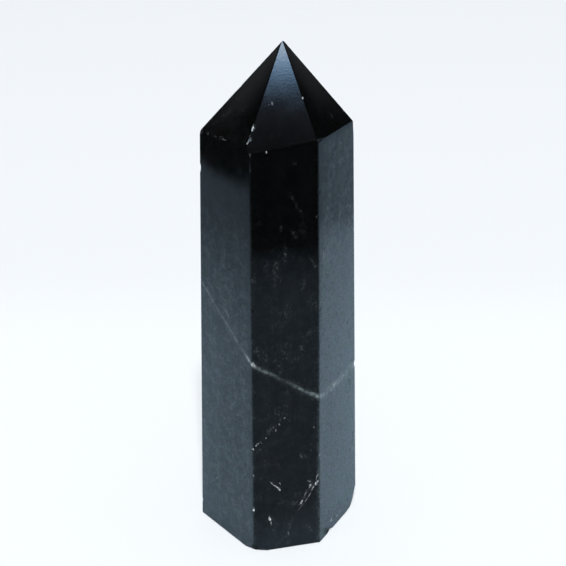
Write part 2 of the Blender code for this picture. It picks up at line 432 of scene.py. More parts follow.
def applyCut(stone, tool):
    cut = stone.modifiers.new(tool.name, "BOOLEAN")
    cut.operation = "DIFFERENCE"
    cut.solver = "EXACT"
    cut.use_self = True
    cut.material_mode = "TRANSFER"
    cut.object = tool
    evaluated = stone.evaluated_get(bpy.context.evaluated_depsgraph_get())
    result = bpy.data.meshes.new_from_object(evaluated)
    stone.modifiers.remove(cut)
    stone.data = result
    bpy.data.objects.remove(tool, do_unlink=True)


# Shader helpers: a plain value sets a socket, an output socket is linked to it
def addNode(tree, kind, inputs=None, **settings):
    node = tree.nodes.new(kind)
    for name, value in settings.items():
        setattr(node, name, value)
    for name, value in (inputs or {}).items():
        if isinstance(value, bpy.types.NodeSocket):
            tree.links.new(value, node.inputs[name])
        else:
            node.inputs[name].default_value = value
    return node


def calc(tree, operation, *values):
    return addNode(tree, "ShaderNodeMath", dict(enumerate(values)), operation=operation).outputs[0]


def fade(tree, value, fromLow, fromHigh, toLow=0.0, toHigh=1.0):
    inputs = {"Value": value, "From Min": fromLow, "From Max": fromHigh, "To Min": toLow, "To Max": toHigh}
    return addNode(tree, "ShaderNodeMapRange", inputs, interpolation_type="SMOOTHSTEP").outputs[0]


def mixColour(tree, share, one, two):
    inputs = {0: share, 6: one, 7: two}
    return addNode(tree, "ShaderNodeMix", inputs, data_type="RGBA").outputs[2]


def millimetres(tree):
    place = addNode(tree, "ShaderNodeTexCoord").outputs["Object"]
    return addNode(tree, "ShaderNodeVectorMath", {0: place, "Scale": 1 / mm}, operation="SCALE").outputs[0]


def grain(tree, place, size, detail=3.0, roughness=0.5, stretch=(1, 1, 1)):
    moved = addNode(tree, "ShaderNodeMapping", {"Vector": place, "Scale": stretch}).outputs[0]
    inputs = {"Vector": moved, "Scale": 1 / size, "Detail": detail, "Roughness": roughness}
    return addNode(tree, "ShaderNodeTexNoise", inputs).outputs["Fac"]


# Noise patterns: size in millimetres, detail, roughness, the levels of the noise at which the
# pattern starts and is full, and for some a stretch along each axis
patterns = {
    "warmth": (9.0, 2, 0.5, 0.50, 0.75),
    "specks": (0.33, 3, 0.7, 0.42, 0.68),
    "blotches": (1.4, 4, 0.75, 0.42, 0.68),
    "streaks": (1.4, 4, 0.6, 0.46, 0.70, (1, 1, 0.07)),
    "dots": (0.45, 2, 0.5, 0.66, 0.76),
    "hue": (1.6, 3, 0.6, 0.42, 0.58),
    "flecks": (0.26, 3, 0.6, 0.55, 0.72),
    "uprightGrain": (0.30, 2, 0.6, 0.40, 0.60, (1, 1, 0.35)),
    "cloud": (3.2, 5, 0.7, 0.46, 0.74),
    "glintAndBruiseGrain": (0.22, 2, 0.6, 0.38, 0.60),
    "crackBreaks": (0.9, 4, 0.75, 0.38, 0.62),
    "crackFlecks": (0.5, 4, 0.7, 0.44, 0.66),
    "crackFading": (2.6, 2, 0.5, 0.38, 0.58),
    "polish": (3.5, 5, 0.7, 0.40, 0.75, (1, 1, 0.45)),
    "groundGloss": (0.9, 4, 0.7, 0.35, 0.70),
    "brokenGloss": (0.7, 3, 0.6, 0.35, 0.70),
    "brokenSpecksAndGlints": (0.40, 4, 0.7, 0.55, 0.76),
}


def pattern(tree, place, name, low=0.0, high=1.0):
    size, detail, roughness, start, full, *stretch = patterns[name]
    return fade(tree, grain(tree, place, size, detail, roughness, *stretch), start, full, low, high)


print("helpers ready")

quartzLook = {
    "black": (0.0009, 0.0009, 0.0009, 1),
    "brown": (0.0016, 0.0011, 0.0009, 1),
    # colours of the scuffs, partly painted sheen
    "greenScuffSheen": (0.037, 0.056, 0.053, 1),
    "blueScuffSheen": (0.044, 0.052, 0.068, 1),
    "veil": (0.130, 0.140, 0.140, 1),
    "crack": (0.180, 0.220, 0.235, 1),
    # white of the bruises, partly painted glints
    "glintAndBruise": (0.58, 0.62, 0.64, 1),
    "brokenSpecksAndGlints": (0.12, 0.13, 0.135, 1),  # pale specks where the stone has broken, partly painted glints
    "ior": 1.544,
}

# The scuffed skin, partly real scuffs and partly a painted hazy sheen on the left and right sides, stronger
# low down: what it is made of, and its strength on each side of the stone. A strength
# changes across the stone and then up it: from one place to another, and the levels there.
scuffAndSheenLook = {
    "shares": {"blotches": 0.7, "streaks": 0.3, "specks": 0.7, "dots": 0.5},
    "left": ((-3.6, -5.2, 0.0, 0.60), (71.0, 40.0, 0.06, 1.0)),
    "right": ((6.0, 7.6, 0.03, 0.85), (62.0, 45.0, 0.8, 2.6)),
    "top": 0.02,
    "shoulder": (71.5, 72.9),  # height at which the side faces end and the top starts
}

# The finishes: roughness from its smoothest to its roughest places, the strength and depth of
# the relief, and the grains it is made of
finishLook = {
    "polished": {"roughness": (0.035, 0.065), "scuffed": 0.20, "relief": (0.16, 0.008),
                 "lines": (0.20, 2, 0.6, (1, 1, 0.10)), "grain": (0.26, 3, 0.7)},
    "ground": {"roughness": (0.16, 0.36), "relief": (0.3, 0.02), "grain": (0.10, 4, 0.7)},
    "broken": {"roughness": (0.30, 0.55), "relief": (0.6, 0.04), "grain": (0.18, 4, 0.6), "brokenSpecksAndGlints": 0.6},
}

# The healed crack lies near one flat sheet through the stone; it bends up to the right
crackSheet = {
    "normal": (0.5916, -0.2604, 0.7631),
    "reach": 28.62,
    "bendFrom": 6.7,
    "bend": 0.15,
    "wander": 0.28,
    "wanderGrain": (2.2, 4, 0.6),
    "core": 0.45,
    "halo": 1.05,
    "haloShare": 0.30,
    "breaks": (0.12, 1.1),  # levels of the core, from its faintest to its clearest places
    "fading": (0.45, 1.2),
    "softening": (6.6, 8.0, 1.0, 0.55),  # it blurs to about twice its width from here to the right
    # how clear it shows, from left to right across the stone
    "clearness": [(-13, 0.30), (-9, 0.27), (-6.2, 0.32), (-5.2, 0.55), (-4.6, 1.10), (-3.9, 0.45),
                  (-1.2, 0.45), (0.8, 0.24), (2.2, 0.36), (4.2, 0.50), (6.6, 0.80), (9.5, 0.80), (13, 0.6)],
}

# Wisps and veils close under a face: face, across, up, half length, half width, turn
# from level, strength
veils = [
    ("front", 0.3, 70.4, 1.1, 0.7, -65, 0.16),
    ("front", -0.1, 64.6, 2.1, 0.5, -67, 0.16),
    ("front", 1.1, 62.3, 1.3, 0.6, -52, 0.14),
    ("front", 1.5, 59.2, 2.4, 0.8, 88, 0.10),
    ("front", 0.3, 58.5, 1.9, 0.6, -61, 0.13),
    ("front", -5.0, 60.8, 0.8, 0.5, -78, 0.16),
    ("front", -1.8, 59.7, 0.8, 0.5, -78, 0.16),
    ("front", -1.2, 55.4, 1.9, 0.6, 90, 0.42),
    ("front", -2.8, 52.3, 3.8, 1.5, 89, 0.20),
    ("front", -4.3, 53.9, 1.8, 0.9, -85, 0.20),
    ("front", -6.1, 51.4, 1.8, 0.3, 89, 0.30),
    ("front", -5.1, 49.9, 0.6, 0.5, -81, 0.32),
    ("front", 3.4, 53.2, 1.7, 0.6, -69, 0.42),
    ("front", 1.3, 54.3, 0.7, 0.5, -73, 0.30),
    ("front", 2.6, 41.3, 0.7, 0.4, 81, 0.35),
    ("front", -5.4, 38.6, 2.2, 1.1, -52, 0.36),
    ("front", -2.3, 35.2, 1.6, 0.9, 89, 0.30),
    ("front", 0.0, 36.1, 1.7, 0.6, 90, 0.20),
    ("front", 1.3, 38.7, 0.8, 0.6, 90, 0.16),
    ("front", -3.7, 24.2, 3.8, 0.6, 48, 0.26),
    ("front", -0.7, 26.0, 1.3, 0.6, -86, 0.16),
    ("front", 1.6, 18.2, 1.0, 0.8, -66, 0.20),
    ("front", 2.4, 10.9, 3.6, 0.8, 60, 0.32),
    ("front", 2.6, 12.9, 1.0, 0.9, 54, 0.32),
    ("front", -0.5, 5.3, 3.0, 0.7, 66, 0.16),
    ("front", -3.0, 13.4, 1.9, 0.9, -56, 0.26),
    ("front", -4.1, 6.4, 1.6, 0.9, -81, 0.30),
    ("front", -3.1, 3.6, 3.0, 1.0, -32, 0.15),
    ("front", 2.5, 3.5, 2.2, 1.2, -61, 0.22),
    ("front", 0.0, 9.0, 2.0, 1.2, 70, 0.14),
    ("left", 2.8, 25.8, 1.5, 0.6, 12, 0.22),
    ("left", 1.5, 19.5, 1.1, 0.7, -6, 0.22),
    ("left", -3.1, 10.0, 4.5, 0.2, 40, 0.30),
    ("left", 1.5, 7.3, 1.9, 0.7, -39, 0.28),
    ("left", -4.7, 51.6, 2.1, 0.8, 51, 0.25),
    ("left", -5.4, 52.3, 1.6, 1.0, -76, 0.30),
    ("left", 4.6, 52.9, 1.2, 0.5, -17, 0.25),
    ("left top", -2.1, 75.3, 1.9, 1.0, 64, 0.16),
    ("left top", -3.6, 73.8, 1.4, 0.7, 20, 0.14),
    ("left top", 0.4, 76.6, 1.6, 0.8, 40, 0.07),
    ("right top", 1.8, 74.8, 1.0, 0.7, 53, 0.16),
    ("right top", -0.2, 76.4, 1.5, 0.9, -60, 0.07),
    ("front top", -0.1, 76.5, 0.9, 0.7, -79, 0.08),
    ("front top", -2.0, 73.9, 0.9, 0.3, 80, 0.10),
    ("front top", -0.7, 74.8, 2.4, 0.35, 90, 0.07),
    ("right", 6.2, 47.3, 5.7, 0.5, -88, 0.25),
    ("right", -2.0, 52.6, 1.3, 0.6, -74, 0.30),
    ("right", -0.2, 63.3, 2.4, 1.0, -78, 0.15),
    ("right", 5.5, 55.4, 3.4, 0.4, -87, 0.45),
    ("right", 2.1, 46.7, 0.8, 0.5, 5, 0.45),
    ("right", 6.6, 12.7, 2.2, 0.7, -73, 0.25),
    ("back", -3.0, 30.0, 2.8, 0.9, 60, 0.30),
    ("back", 2.0, 54.0, 3.4, 0.8, -50, 0.30),
    ("backLeft", 2.0, 45.0, 2.6, 0.9, 30, 0.25),
    ("backRight", -1.5, 24.0, 2.8, 1.0, 75, 0.30),
    ("backRight", 2.5, 60.0, 2.4, 0.8, 45, 0.25),
]

# How the veils look: how deep they reach, how ragged they are (size, reach), and what breaks
# them up. A faint cloud lies on all faces, weaker above its two heights.
veilLook = {
    "deep": 0.7,
    "ragged": (0.7, 1.2),
    "threads": (1.5, 0.035),
    "threadShare": 0.9,
    "wisps": 1.4,
    "even": 0.05,
    "cloud": 0.20,
    "cloudHeights": (58.0, 48.0, 0.08, 1.0),
}

# White bruises, partly painted glints where edges and pits catch the light: the face, or the edge and the
# face it starts at, with the place on it, then half length, half width, turn and strength
glintsAndBruises = [
    (("left", "front", "foot"), 20.85, 0, 0.24, 0.20, 0, 0.9),
    (("left", "front", "foot"), 15.75, 0, 0.20, 0.17, 0, 0.6),
    (("left", "front", "foot"), 8.9, 0, 0.60, 0.16, 0, 1.0),
    (("left", "front", "foot"), 69.6, 0, 0.8, 0.14, 0, 0.03),
    (("left", "front", "foot"), 71.8, 0, 0.4, 0.16, 0, 0.06),
    (("left top", "front top", "tip"), 14.3, 0, 0.80, 0.08, 0, 0.9),
    (("left top", "front top", "tip"), 15.5, 0, 0.40, 0.07, 0, 0.12),
    (("left top", "front top", "tip"), 16.6, 0, 0.34, 0.11, 0, 0.8),
    (("front top", "right top", "tip"), 9.25, 0, 0.18, 0.15, 0, 0.7),
    (("left", "left top", "backLeft"), 2.1, 0, 0.20, 0.18, 0, 0.25),
    (("left", "left top", "backLeft"), 4.1, 0, 0.40, 0.10, 0, 0.10),
    (("left", "left top", "backLeft"), 6.2, 0, 0.65, 0.13, 0, 0.22),
    (("front", "right", "foot"), 18.0, 0, 0.25, 0.18, 0, 0.25),
    (("left", "foot", "backLeft"), 10.8, 0, 0.40, 0.25, 0, 0.40),
    ("front", 4.0, 13.7, 0.95, 0.11, 73, 0.5),
    ("front", 3.9, 12.5, 0.60, 0.28, 62, 0.9),
    ("front", 3.3, 11.6, 0.75, 0.12, 65, 0.5),
    ("front", 2.4, 9.9, 1.40, 0.09, 59, 0.35),
    ("front", 1.1, 8.0, 1.10, 0.08, 53, 0.15),
    ("front", 2.8, 12.2, 0.50, 0.20, 75, 0.8),
    ("front", 2.6, 13.1, 0.48, 0.13, -34, 0.3),
    ("front", 1.9, 10.5, 0.90, 0.10, 69, 0.3),
    ("front", 1.3, 9.1, 0.80, 0.18, 64, 0.6),
    ("front", -3.8, 13.8, 0.50, 0.12, -50, 0.5),
    ("front", -3.2, 13.1, 0.65, 0.13, -38, 0.5),
    ("front", -2.6, 12.5, 0.70, 0.18, -61, 0.8),
    ("front", -2.4, 13.5, 0.33, 0.11, -55, 0.35),
    ("front", -4.2, 6.6, 0.55, 0.26, -75, 0.85),
    ("front", -4.0, 5.6, 0.60, 0.13, -81, 0.35),
    ("front", -1.0, 3.0, 0.55, 0.20, -87, 0.15),
    ("front", -6.1, 21.8, 0.50, 0.16, 45, 0.6),
    ("front", -5.5, 22.1, 0.40, 0.09, -46, 0.25),
    ("front", -4.6, 22.8, 0.26, 0.14, 57, 0.35),
    ("front", -3.0, 24.0, 0.32, 0.12, 74, 0.3),
    ("front", -2.4, 25.1, 0.24, 0.12, 60, 0.25),
    ("front", -1.5, 26.2, 0.22, 0.17, 54, 0.6),
    ("front", 3.4, 23.6, 0.22, 0.14, 54, 0.3),
    ("front", 2.9, 19.2, 0.20, 0.14, 65, 0.15),
    ("front", 1.3, 18.2, 0.55, 0.20, -55, 0.07),
    ("front", 1.2, 39.1, 0.40, 0.13, 18, 0.08),
    ("front", 1.4, 38.7, 0.48, 0.12, 72, 0.05),
    ("front", -3.9, 72.1, 0.20, 0.15, -54, 0.7),
    ("front", -6.6, 36.8, 0.95, 0.40, -40, 0.4),
    ("front top", -1.4, 78.0, 0.38, 0.22, 88, 0.16),
    ("front top", -1.9, 77.8, 0.28, 0.10, -50, 0.04),
    ("left", 6.6, 37.0, 0.7, 0.35, 50, 0.35),
    ("left", -2.6, 12.6, 0.24, 0.17, -53, 0.20),
    ("left", 3.8, 16.4, 0.21, 0.15, -54, 0.18),
    ("left", 4.9, 16.0, 0.21, 0.14, -54, 0.15),
    ("left", 1.9, 20.2, 0.24, 0.14, -65, 0.10),
    ("left", -3.4, 9.7, 4.00, 0.12, 45, 0.06),
    ("left", 2.8, 25.7, 0.68, 0.13, 18, 0.10),
    ("left", 0.2, 43.6, 1.20, 0.45, -45, 0.06),
    ("right", 2.3, 45.6, 0.36, 0.20, -45, 0.15),
    ("right", 6.9, 12.3, 0.30, 0.24, -63, 0.30),
    ("right", -3.1, 53.8, 1.20, 0.40, -85, 0.10),
    ("right", -0.4, 40.5, 0.29, 0.16, -54, 0.14),
    ("right", 3.1, 16.8, 0.28, 0.14, -63, 0.12),
    ("right", -0.9, 2.1, 0.50, 0.22, 69, 0.8),
    ("right", 1.2, 1.7, 0.32, 0.15, 30, 0.5),
    ("right", 2.4, 1.9, 0.30, 0.13, 60, 0.4),
]

glintAndBruiseLook = {"deep": 0.4, "core": 0.45, "torn": (0.30, 0.45), "levels": (0.15, 1.1)}


def markPlace(mark):
    # a mark's centre and the way its length, width and depth lie
    if isinstance(mark[0], str):
        sideways, upward, normal = faceAxes(mark[0])
        return onFace(*mark[:3]), Matrix((sideways, upward, normal)).transposed()
    first, second, start = mark[0]
    along = edgeDirection(first, second, start)
    outward = (planes[first][0] + planes[second][0]).normalized()
    axes = Matrix((along, outward.cross(along), outward)).transposed()
    return edgeStart(first, second, start) + along * mark[1] * mm, axes


def markMask(tree, place, mark, deep, core=0.0):
    long, wide, turn, strength = mark[-4:]
    centre, axes = markPlace(mark)
    axes = axes @ Matrix.Rotation(math.radians(turn), 3, "Z")
    inputs = {"Vector": place, "Location": centre / mm, "Rotation": axes.to_euler(),
              "Scale": (long, wide, deep)}
    inside = addNode(tree, "ShaderNodeMapping", inputs, vector_type="TEXTURE").outputs[0]
    near = addNode(tree, "ShaderNodeTexGradient", {"Vector": inside}, gradient_type="SPHERICAL")
    return fade(tree, near.outputs["Fac"], 0.0, 1 - core, 0.0, strength)


def allMarks(tree, place, marks, deep, core=0.0):
    total = markMask(tree, place, marks[0], deep, core)
    for mark in marks[1:]:
        total = calc(tree, "ADD", total, markMask(tree, place, mark, deep, core))
    return total


def pushed(tree, place, size, reach):
    # the place shifted a little every way, so that marks get ragged outlines
    noise = addNode(tree, "ShaderNodeTexNoise", {"Vector": place, "Scale": 1 / size, "Detail": 3.0})
    shift = addNode(tree, "ShaderNodeVectorMath", {0: noise.outputs["Color"], 1: (0.5, 0.5, 0.5)},
                    operation="SUBTRACT")
    shift = addNode(tree, "ShaderNodeVectorMath", {0: shift.outputs[0], "Scale": reach}, operation="SCALE")
    moved = addNode(tree, "ShaderNodeVectorMath", {0: place, 1: shift.outputs[0]}, operation="ADD")
    return moved.outputs[0]


def threads(tree, place, size, width):
    # thin wandering lines, where a soft noise crosses its middle value
    middle = calc(tree, "SUBTRACT", grain(tree, place, size, 5, 0.6), 0.5)
    return fade(tree, calc(tree, "ABSOLUTE", middle), width, 0.0)


def curve(tree, value, points):
    # a level that runs straight from one given point to the next
    low, high = points[0][0], points[-1][0]
    inputs = {"Value": value, "From Min": low, "From Max": high}
    share = addNode(tree, "ShaderNodeMapRange", inputs).outputs[0]
    node = addNode(tree, "ShaderNodeValToRGB", {0: share})
    stops = node.color_ramp.elements
    while len(stops) < len(points):
        stops.new(1.0)
    for stop, (place, level) in zip(stops, points):
        stop.position = (place - low) / (high - low)
        stop.color = (level, level, level, 1)
    return node.outputs[0]


def crackMask(tree, place):
    parts = crackSheet
    wander = grain(tree, place, *parts["wanderGrain"])
    wander = calc(tree, "MULTIPLY_ADD", wander, 2 * parts["wander"], -parts["wander"])
    height = addNode(tree, "ShaderNodeVectorMath", {0: place, 1: parts["normal"]}, operation="DOT_PRODUCT")
    away = calc(tree, "SUBTRACT", height.outputs["Value"], parts["reach"])
    sideways = addNode(tree, "ShaderNodeSeparateXYZ", {0: place}).outputs[0]
    beyond = calc(tree, "MAXIMUM", calc(tree, "SUBTRACT", sideways, parts["bendFrom"]), 0.0)
    away = calc(tree, "SUBTRACT", away, calc(tree, "MULTIPLY", beyond, parts["bend"]))
    away = calc(tree, "ABSOLUTE", calc(tree, "ADD", away, wander))
    away = calc(tree, "MULTIPLY", away, fade(tree, sideways, *parts["softening"]))
    core = calc(tree, "MULTIPLY", fade(tree, away, parts["core"], 0.0),
                pattern(tree, place, "crackBreaks", *parts["breaks"]))
    halo = calc(tree, "MULTIPLY", fade(tree, away, parts["halo"], 0.0, 0.0, parts["haloShare"]),
                pattern(tree, place, "crackFlecks"))
    both = calc(tree, "MULTIPLY", calc(tree, "ADD", core, halo),
                pattern(tree, place, "crackFading", *parts["fading"]))
    return calc(tree, "MULTIPLY", both, curve(tree, sideways, parts["clearness"]))


def scuffsAndPaintedSheen(tree, place, axes):
    scuffsAndSheen = 0.0
    for name, share in scuffAndSheenLook["shares"].items():
        scuffsAndSheen = calc(tree, "ADD", scuffsAndSheen, pattern(tree, place, name, 0.0, share))
    sides = []
    for across, up in (scuffAndSheenLook["left"], scuffAndSheenLook["right"]):
        sides.append(calc(tree, "MULTIPLY", fade(tree, axes[0], *across), fade(tree, axes[2], *up)))
    right = calc(tree, "MULTIPLY", sides[1], fade(tree, axes[2], *scuffAndSheenLook["shoulder"], 1.0, 0.0))
    above = fade(tree, axes[2], *scuffAndSheenLook["shoulder"], 0.0, scuffAndSheenLook["top"])
    strength = calc(tree, "ADD", calc(tree, "ADD", sides[0], right), above)
    return calc(tree, "MULTIPLY", scuffsAndSheen, strength)


def veiling(tree, place, axes):
    look = veilLook
    ragged = pushed(tree, place, *look["ragged"])
    lines = calc(tree, "MULTIPLY", threads(tree, ragged, *look["threads"]), look["threadShare"])
    wisps = calc(tree, "MAXIMUM", lines, pattern(tree, place, "flecks"))
    wisps = calc(tree, "MULTIPLY", wisps, pattern(tree, place, "uprightGrain"))
    wisps = calc(tree, "MULTIPLY_ADD", wisps, look["wisps"], look["even"])
    cloud = calc(tree, "MULTIPLY", pattern(tree, place, "cloud", 0.0, look["cloud"]),
                 fade(tree, axes[2], *look["cloudHeights"]))
    marks = allMarks(tree, ragged, veils, look["deep"])
    return calc(tree, "MULTIPLY", calc(tree, "ADD", marks, cloud), wisps)


def glintsAndBruising(tree, place):
    look = glintAndBruiseLook
    marks = allMarks(tree, pushed(tree, place, *look["torn"]), glintsAndBruises, look["deep"], look["core"])
    return calc(tree, "MULTIPLY", marks, pattern(tree, place, "glintAndBruiseGrain", *look["levels"]))


def innerColour():
    # one node group gives every finish of the stone the same scuffs with painted sheen, veils, crack, and
    # bruises with painted glints
    look = quartzLook
    tree = bpy.data.node_groups.new("innerColour", "ShaderNodeTree")
    tree.interface.new_socket("Colour", in_out="OUTPUT", socket_type="NodeSocketColor")
    tree.interface.new_socket("ScuffsAndSheen", in_out="OUTPUT", socket_type="NodeSocketFloat")
    place = millimetres(tree)
    colour = mixColour(tree, pattern(tree, place, "warmth"), look["black"], look["brown"])
    axes = addNode(tree, "ShaderNodeSeparateXYZ", {0: place}).outputs
    scuffsAndSheen = scuffsAndPaintedSheen(tree, place, axes)
    skin = mixColour(tree, pattern(tree, place, "hue"), look["greenScuffSheen"], look["blueScuffSheen"])
    # scuffs with painted sheen on the left and right sides
    colour = mixColour(tree, scuffsAndSheen, colour, skin)
    colour = mixColour(tree, veiling(tree, place, axes), colour, look["veil"])
    colour = mixColour(tree, crackMask(tree, place), colour, look["crack"])
    # white bruises, partly painted glints
    colour = mixColour(tree, glintsAndBruising(tree, place), colour, look["glintAndBruise"])
    output = addNode(tree, "NodeGroupOutput")
    tree.links.new(colour, output.inputs[0])
    tree.links.new(scuffsAndSheen, output.inputs[1])


def newFinish(name):
    material = bpy.data.materials.new(name)
    material.use_nodes = True
    tree = material.node_tree
    tree.nodes.clear()
    group = tree.nodes.new("ShaderNodeGroup")
    group.node_tree = bpy.data.node_groups["innerColour"]
    return material, tree, millimetres(tree), group.outputs


def shade(tree, colour, roughness, relief, strength, deep):
    inputs = {"Height": relief, "Strength": strength, "Distance": deep * mm}
    bump = addNode(tree, "ShaderNodeBump", inputs).outputs[0]
    inputs = {"Base Color": colour, "Roughness": roughness, "IOR": quartzLook["ior"], "Normal": bump}
    shader = addNode(tree, "ShaderNodeBsdfPrincipled", inputs)
    output = addNode(tree, "ShaderNodeOutputMaterial")
    tree.links.new(shader.outputs[0], output.inputs[0])


def polishedMorion():
    look = finishLook["polished"]
    material, tree, place, inner = newFinish("polishedMorion")
    smooth = pattern(tree, place, "polish", *look["roughness"])
    roughness = calc(tree, "MULTIPLY_ADD", inner["ScuffsAndSheen"], look["scuffed"], smooth)
    relief = calc(tree, "ADD", grain(tree, place, *look["grain"]), grain(tree, place, *look["lines"]))
    shade(tree, inner["Colour"], roughness, relief, *look["relief"])
    return material


def groundMorion():
    look = finishLook["ground"]
    material, tree, place, inner = newFinish("groundMorion")
    roughness = pattern(tree, place, "groundGloss", *look["roughness"])
    shade(tree, inner["Colour"], roughness, grain(tree, place, *look["grain"]), *look["relief"])
    return material


def brokenMorion():
    look = finishLook["broken"]
    material, tree, place, inner = newFinish("brokenMorion")
    # pale crushed specks on the broken faces, partly painted glints
    specksAndGlints = pattern(tree, place, "brokenSpecksAndGlints", 0.0, look["brokenSpecksAndGlints"])
    colour = mixColour(tree, specksAndGlints, inner["Colour"], quartzLook["brokenSpecksAndGlints"])
    roughness = pattern(tree, place, "brokenGloss", *look["roughness"])
    shade(tree, colour, roughness, grain(tree, place, *look["grain"]), *look["relief"])
    return material


innerColour()
stoneFinishes = [polishedMorion(), groundMorion(), brokenMorion()]
print("finishes made")

stone = makeStone()
for finish in stoneFinishes:
    stone.data.materials.append(finish)
chips, pits = makeChips(), makePits()
for tool in (chips, pits):
    tool.data.materials.append(stoneFinishes[finishes["broken"]])
print("stone cut:", len(stone.data.polygons), "faces;", len(chips.data.polygons), "in the chip tool")
applyCut(stone, chips)
print("chips cut:", len(stone.data.polygons), "faces")
applyCut(stone, pits)
stone.data.set_sharp_from_angle(angle=math.radians(stoneCut["sharpFrom"]))
print("pits cut:", len(stone.data.polygons), "faces")
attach(stone, "root")
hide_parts("quartz_point")

# Stage: a white floor, and apart from it a glowing card that paints what the polished faces mirror
floorLook = {
    "size": 4.0,  # metres
    "near": (0.785, 0.808, 0.822, 1),
    "far": (0.752, 0.773, 0.797, 1),
    "change": (60.0, 96.0),  # where the floor turns darker, behind the stone
}


def newPaper(name):
    material = bpy.data.materials.new(name)
    material.use_nodes = True
    material.node_tree.nodes.clear()
    return material, material.node_tree


def makeFloor():
    look = floorLook
    bm = bmesh.new()
    bmesh.ops.create_grid(bm, x_segments=1, y_segments=1, size=look["size"] / 2)
    floor = meshObject("floor", bm)
    material, tree = newPaper("whitePaper")
    depth = addNode(tree, "ShaderNodeSeparateXYZ", {0: millimetres(tree)}).outputs[1]
    colour = mixColour(tree, fade(tree, depth, *look["change"]), look["near"], look["far"])
    shader = addNode(tree, "ShaderNodeBsdfDiffuse", {"Color": colour})
    output = addNode(tree, "ShaderNodeOutputMaterial")
    tree.links.new(shader.outputs[0], output.inputs[0])
    floor.data.materials.append(material)
    floor.visible_glossy = False


# A glowing card just below the floor, seen only in reflections, paints what the side faces mirror of the
# floor, with painted shade and shadows. Angles are counted from straight behind the stone, distances from
# its middle. Four numbers are where a change starts and ends, and the levels there.
mirrorRoom = {
    "drop": 0.2,  # how far below the floor it lies
    "tint": (0.72, 1.0, 1.27),
    "left": {"angles": (74.0, 92.0), "levels": (0.70, 0.635), "fading": (60.0, 150.0, 1.0, 0.44)},
    "right": {"angles": (58.0, 76.0), "levels": (0.97, 0.775), "fading": (50.0, 150.0, 0.92, 0.61)},
    "middle": (-10.0, 10.0),  # across which the left part turns into the right one
    "leftEdge": {"way": (-0.95, -0.31), "from": 147.0, "to": 165.0},  # end of the paper on the left
    "rightStep": (128.0, 141.0, 1.0, 0.59),
    "beside": (11.0, 17.0, 0.75, 1.0),  # a little shade at the foot
    # painted shade: the mirrored floor in front of the stone is darker
    "front": (-12.0, -24.0, 0.39, 0.215),
    # how the front part darkens with the distance from the stone
    "frontEdge": [(106, 1.0), (114, 0.90), (118, 0.80), (124, 0.66), (128, 0.60), (134, 0.15), (138, 0.0)],
    # the front part lies before both of these lines, from a foot corner outwards
    "frontLines": [((-4.36, -12.48), (0.8, -0.6)), ((6.96, -9.87), (-0.43, -0.9))],
    "frontSoft": 0.6,
    # shadows below a broken corner and below a deep chip, with the light that is left in them
    "shadows": [((-4.7, -12.7, 0.0), (0.8, 2.4)), ((8.9, -6.8, 0.0), (0.6, 1.5))],
    "shadowLight": 0.15,
    "dark": 0.015,
}


def makeMirroredFloor():
    look = mirrorRoom
    bm = bmesh.new()
    placed = Matrix.Translation((0, 0, -look["drop"] * mm))
    bmesh.ops.create_grid(bm, x_segments=1, y_segments=1, size=floorLook["size"] / 2, matrix=placed)
    card = meshObject("mirroredFloor", bm)
    material, tree = newPaper("mirroredFloor")
    place = millimetres(tree)
    axes = addNode(tree, "ShaderNodeSeparateXYZ", {0: place}).outputs
    away = addNode(tree, "ShaderNodeVectorMath", {0: place}, operation="LENGTH").outputs["Value"]
    angle = calc(tree, "ABSOLUTE", calc(tree, "ARCTAN2", axes[0], axes[1]))
    angle = calc(tree, "MULTIPLY", angle, math.degrees(1))
    sides = []
    for side in (look["left"], look["right"]):
        level = fade(tree, angle, *side["angles"], *side["levels"])
        sides.append(calc(tree, "MULTIPLY", level, fade(tree, away, *side["fading"])))
    edge = look["leftEdge"]
    across = calc(tree, "ADD", calc(tree, "MULTIPLY", axes[0], edge["way"][0]),
                  calc(tree, "MULTIPLY", axes[1], edge["way"][1]))
    left = calc(tree, "MULTIPLY", sides[0], fade(tree, across, edge["to"], edge["from"]))
    right = calc(tree, "MULTIPLY", sides[1], fade(tree, away, *look["rightStep"]))
    toRight = fade(tree, axes[0], *look["middle"])
    behind = calc(tree, "ADD", calc(tree, "MULTIPLY", left, calc(tree, "SUBTRACT", 1.0, toRight)),
                  calc(tree, "MULTIPLY", right, toRight))
    behind = calc(tree, "MULTIPLY", behind, fade(tree, away, *look["beside"]))
    front = calc(tree, "MULTIPLY", fade(tree, axes[1], *look["front"]), curve(tree, away, look["frontEdge"]))
    before = []
    for (cornerX, cornerY), (wayX, wayY) in look["frontLines"]:
        level = calc(tree, "MULTIPLY", calc(tree, "SUBTRACT", axes[0], cornerX), wayX)
        before.append(calc(tree, "MULTIPLY_ADD", calc(tree, "SUBTRACT", axes[1], cornerY), wayY, level))
    forward = fade(tree, calc(tree, "MINIMUM", *before), -look["frontSoft"], look["frontSoft"])
    light = calc(tree, "ADD", calc(tree, "MULTIPLY", behind, calc(tree, "SUBTRACT", 1.0, forward)),
                 calc(tree, "MULTIPLY", front, forward))
    for middle, reach in look["shadows"]:
        beyond = addNode(tree, "ShaderNodeVectorMath", {0: place, 1: middle}, operation="DISTANCE")
        shadow = fade(tree, beyond.outputs["Value"], *reach, look["shadowLight"], 1.0)
        light = calc(tree, "MULTIPLY", light, shadow)
    light = calc(tree, "ADD", light, look["dark"])
    glow = addNode(tree, "ShaderNodeEmission", {"Color": (*look["tint"], 1), "Strength": light})
    output = addNode(tree, "ShaderNodeOutputMaterial")
    tree.links.new(glow.outputs[0], output.inputs[0])
    card.data.materials.append(material)
    card.visible_camera = False
    card.visible_diffuse = False
    card.visible_shadow = False


